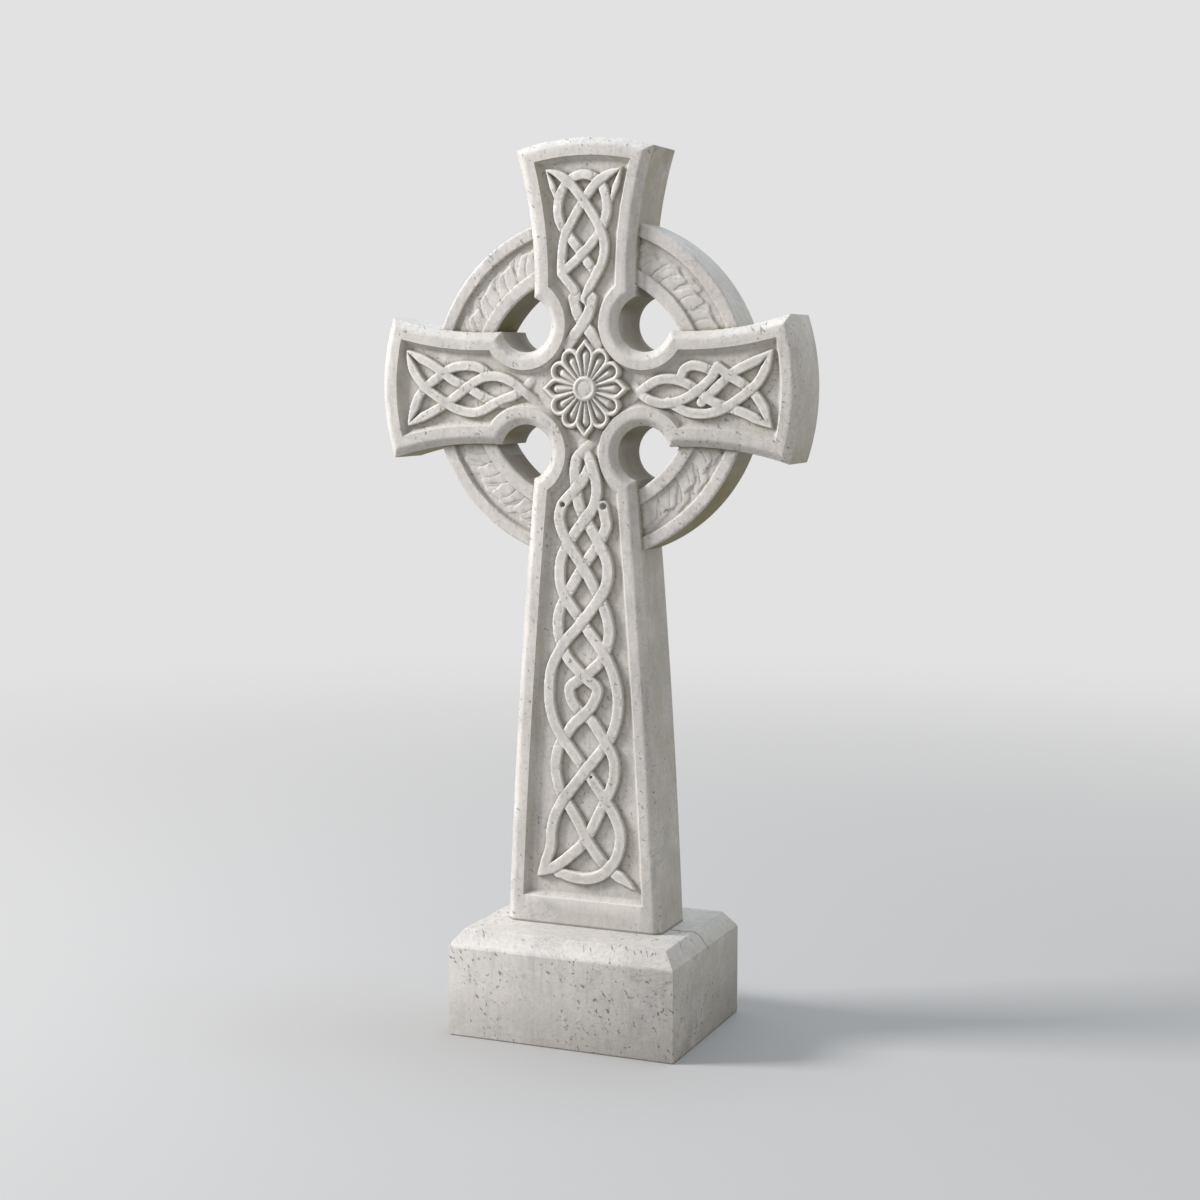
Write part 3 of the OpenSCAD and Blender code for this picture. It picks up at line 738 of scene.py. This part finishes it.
def stone_material(name, base, carved):
    """Weathered marble. The carved stone has dirt and painted shade in its carving and painted highlights
    on rubbed edges; the plinth is darker towards the bottom and has a hairline.
    """
    mat = bpy.data.materials.new(name)
    mat.use_nodes = True
    tree = mat.node_tree
    tree.nodes.clear()
    out = tree.nodes.new("ShaderNodeOutputMaterial")
    surf = tree.nodes.new("ShaderNodeBsdfPrincipled")
    tree.links.new(surf.outputs[0], out.inputs[0])
    where = tree.nodes.new("ShaderNodeTexCoord").outputs["Object"]
    place = tree.nodes.new("ShaderNodeSeparateXYZ")
    tree.links.new(where, place.inputs[0])
    geo = tree.nodes.new("ShaderNodeNewGeometry")
    facing = tree.nodes.new("ShaderNodeSeparateXYZ")
    tree.links.new(geo.outputs["Normal"], facing.inputs[0])

    cloud = noise(tree, where, 9.0, 5.0, 0.6)
    tone = mix(tree, spread(tree, cloud, 0.35, 0.68), shade(base, 0.90), shade(base, 1.07))
    grey = noise(tree, where, 38.0, 6.0, 0.70, (1.0, 1.0, 0.55), 0.6)
    tone = mix(tree, spread(tree, grey, 0.48, 0.68, 0.0, 0.50), tone, GREY_PATCH)
    for scale, stretch, low, high, strength, by in FIGURE:
        speck = noise(tree, where, scale, 3.0, 0.6, stretch)
        tone = mix(tree, spread(tree, speck, low, high, 0.0, strength), tone, shade(base, by))
    # Dark slanting flecks, thicker in some places than in others, and a few long thin veins
    fleck = noise(tree, where, 210.0, 2.0, 0.5, (1.0, 1.0, 0.34), 0.5, FLECK_SLANT)
    where_thick = spread(tree, noise(tree, where, 7.0, 2.0, 0.5), 0.38, 0.62, 0.06, -0.02)
    least, strength = (0.665, 0.70) if carved else (0.628, 0.85)
    fleck = spread(tree, maths(tree, "SUBTRACT", fleck, where_thick), least, 0.70, 0.0, strength)
    tone = mix(tree, fleck, tone, FLECK)
    vein = noise(tree, where, 5.0, 6.0, 0.62, (1.0, 1.0, 1.6), 1.2)
    vein = maths(tree, "ABSOLUTE", maths(tree, "SUBTRACT", vein, 0.5))
    vein = spread(tree, vein, 0.0, 0.005, 0.30, 0.0)
    tone = mix(tree, vein, tone, FLECK)

    # Brown stain and painted shade on the right-hand faces, most of all on the head, and painted shade on
    # faces that look down
    patch = noise(tree, where, 22.0, 4.0, 0.6)
    side = times(tree, spread(tree, facing.outputs["X"], 0.6, 0.95), spread(tree, patch, 0.3, 0.6))
    side_stain_and_shade_by_height = spread(tree, place.outputs["Z"], 0.96, 1.08, 0.40, 0.72)
    tone = mix(tree, times(tree, side, side_stain_and_shade_by_height), tone, SIDE_STAIN_AND_SHADE)
    # Painted shade on faces that look down, tinted olive like light bounced up from below
    under_shade = spread(tree, facing.outputs["Z"], -0.15, -0.62)
    under_shade = times(tree, under_shade, spread(tree, facing.outputs["Y"], -0.60, -0.20))
    tone = mix(tree, times(tree, under_shade, spread(tree, patch, 0.2, 0.6, 0.70, 1.0)), tone, UNDERSIDE_SHADE)
    if carved:
        # Dirt and painted shade in the carving, rubbed edges with a painted highlight, and a dark line
        # where the cross stands on the plinth
        amount = times(tree, painted(tree, "dirt_and_shade"), spread(tree, patch, 0.25, 0.65, 0.65, 1.0))
        amount = times(tree, amount, spread(tree, facing.outputs["Y"], 0.55, 0.2))
        tone = mix(tree, amount, tone, DIRT_AND_SHADE)
        tone = mix(tree, times(tree, painted(tree, "ridge"), 0.6), tone, RUBBED_AND_HIGHLIGHT)
        joint = spread(tree, place.outputs["Z"], (BASE_H + 4.2) * MM, (BASE_H + 1.2) * MM)
        tone = mix(tree, times(tree, joint, 0.75), tone, FLECK)
    else:
        # Darker towards the bottom of the block, in patches
        towards_bottom = spread(tree, place.outputs["Z"], 0.125, 0.0, 0.0, 0.25)
        tone = mix(tree, times(tree, towards_bottom, spread(tree, patch, 0.2, 0.6, 0.5, 1.0)), tone, DARKER_LOW)
        tone = mix(tree, hairline_strength(tree, where, place), tone, FLECK)
    tree.links.new(tone, surf.inputs["Base Color"])
    surf.inputs["Roughness"].default_value = 0.62
    surf.inputs["Specular IOR Level"].default_value = 0.35
    bump = tree.nodes.new("ShaderNodeBump")
    bump.inputs["Strength"].default_value = 0.45
    bump.inputs["Distance"].default_value = 0.7 * MM
    pits = noise(tree, where, 190.0, 4.0, 0.65)
    tree.links.new(maths(tree, "SUBTRACT", pits, fleck), bump.inputs["Height"])
    tree.links.new(bump.outputs[0], surf.inputs["Normal"])
    return mat


for name, build, carved in (("cross", build_cross, True), ("plinth", build_plinth, False)):
    piece = build()
    piece.data.materials.append(stone_material(name + "_marble", STONE, carved))
    piece.data.polygons.foreach_set("use_smooth", [True] * len(piece.data.polygons))
    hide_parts(name)
    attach(piece, "root")


# Floor, light and camera
def quad(name, centre, across, up, material):
    """A flat four-cornered piece of the stage, given by its middle and its two half sides."""
    c, a, u = Vector(centre), Vector(across), Vector(up)
    mesh = bpy.data.meshes.new(name)
    mesh.from_pydata([c - a - u, c + a - u, c + a + u, c - a + u], [], [(0, 1, 2, 3)])
    mesh.materials.append(material)
    obj = in_scene(name, mesh)


def lamp(name, place, target, size, power, colour):
    """An area light that faces its target."""
    data = bpy.data.lights.new(name, "AREA")
    data.shape = "RECTANGLE"
    data.size, data.size_y = size
    data.energy = power
    data.color = colour
    obj = in_scene(name, data)
    obj.location = place
    obj.rotation_euler = (Vector(target) - Vector(place)).to_track_quat("-Z", "Y").to_euler()


def floor_material(near, far):
    """Pale floor that melts into the studio's haze a few metres out."""
    mat = bpy.data.materials.new("floor_pale")
    mat.use_nodes = True
    tree = mat.node_tree
    surf = tree.nodes["Principled BSDF"]
    surf.inputs["Base Color"].default_value = (*near, 1.0)
    surf.inputs["Roughness"].default_value = 0.9
    surf.inputs["Specular IOR Level"].default_value = 0.1
    where = tree.nodes.new("ShaderNodeTexCoord").outputs["Object"]
    size = tree.nodes.new("ShaderNodeVectorMath")
    size.operation = "LENGTH"
    tree.links.new(where, size.inputs[0])
    haze = tree.nodes.new("ShaderNodeEmission")
    haze.inputs[0].default_value = (*far, 1.0)
    blend = tree.nodes.new("ShaderNodeMixShader")
    tree.links.new(spread(tree, size.outputs["Value"], 0.2, 4.0), blend.inputs[0])
    tree.links.new(surf.outputs[0], blend.inputs[1])
    tree.links.new(haze.outputs[0], blend.inputs[2])
    tree.links.new(blend.outputs[0], tree.nodes["Material Output"].inputs[0])
    return mat


HAZE, FLOOR = (0.76, 0.76, 0.76), (0.335, 0.327, 0.320)
quad("floor", (0, 0, 0), (60, 0, 0), (0, 60, 0), floor_material(FLOOR, HAZE))
lamp("key", (-4.0, -1.8, 3.0), (0, 0, 0.7), (1.4, 1.4), 410.0, (0.99, 0.99, 1.0))
lamp("sky", (0.5, 0.5, 4.8), (0, 0, 0.8), (1.6, 1.6), 100.0, (0.66, 0.83, 1.0))
world = bpy.data.worlds.new("studio")
bpy.context.scene.world = world
world.use_nodes = True
world.node_tree.nodes["Background"].inputs[0].default_value = (*HAZE, 1.0)
world.node_tree.nodes["Background"].inputs[1].default_value = 1.0

# The photo's camera, as fitted to the corners of the stones
CAMERA_AT, CAMERA_YAW, CAMERA_PITCH = (1.12146, -2.64171, 0.900), 22.887, -6.205
lens = bpy.data.cameras.new("camera")
lens.sensor_width, lens.lens = 36.0, 63.9801
camera = in_scene("camera", lens)
camera.location = CAMERA_AT
yaw, pitch = math.radians(CAMERA_YAW), math.radians(CAMERA_PITCH)
gaze = Vector((-math.sin(yaw) * math.cos(pitch), math.cos(yaw) * math.cos(pitch), math.sin(pitch)))
camera.rotation_euler = gaze.to_track_quat("-Z", "Y").to_euler()
bpy.context.scene.camera = camera
bpy.context.scene.view_settings.view_transform = "Standard"
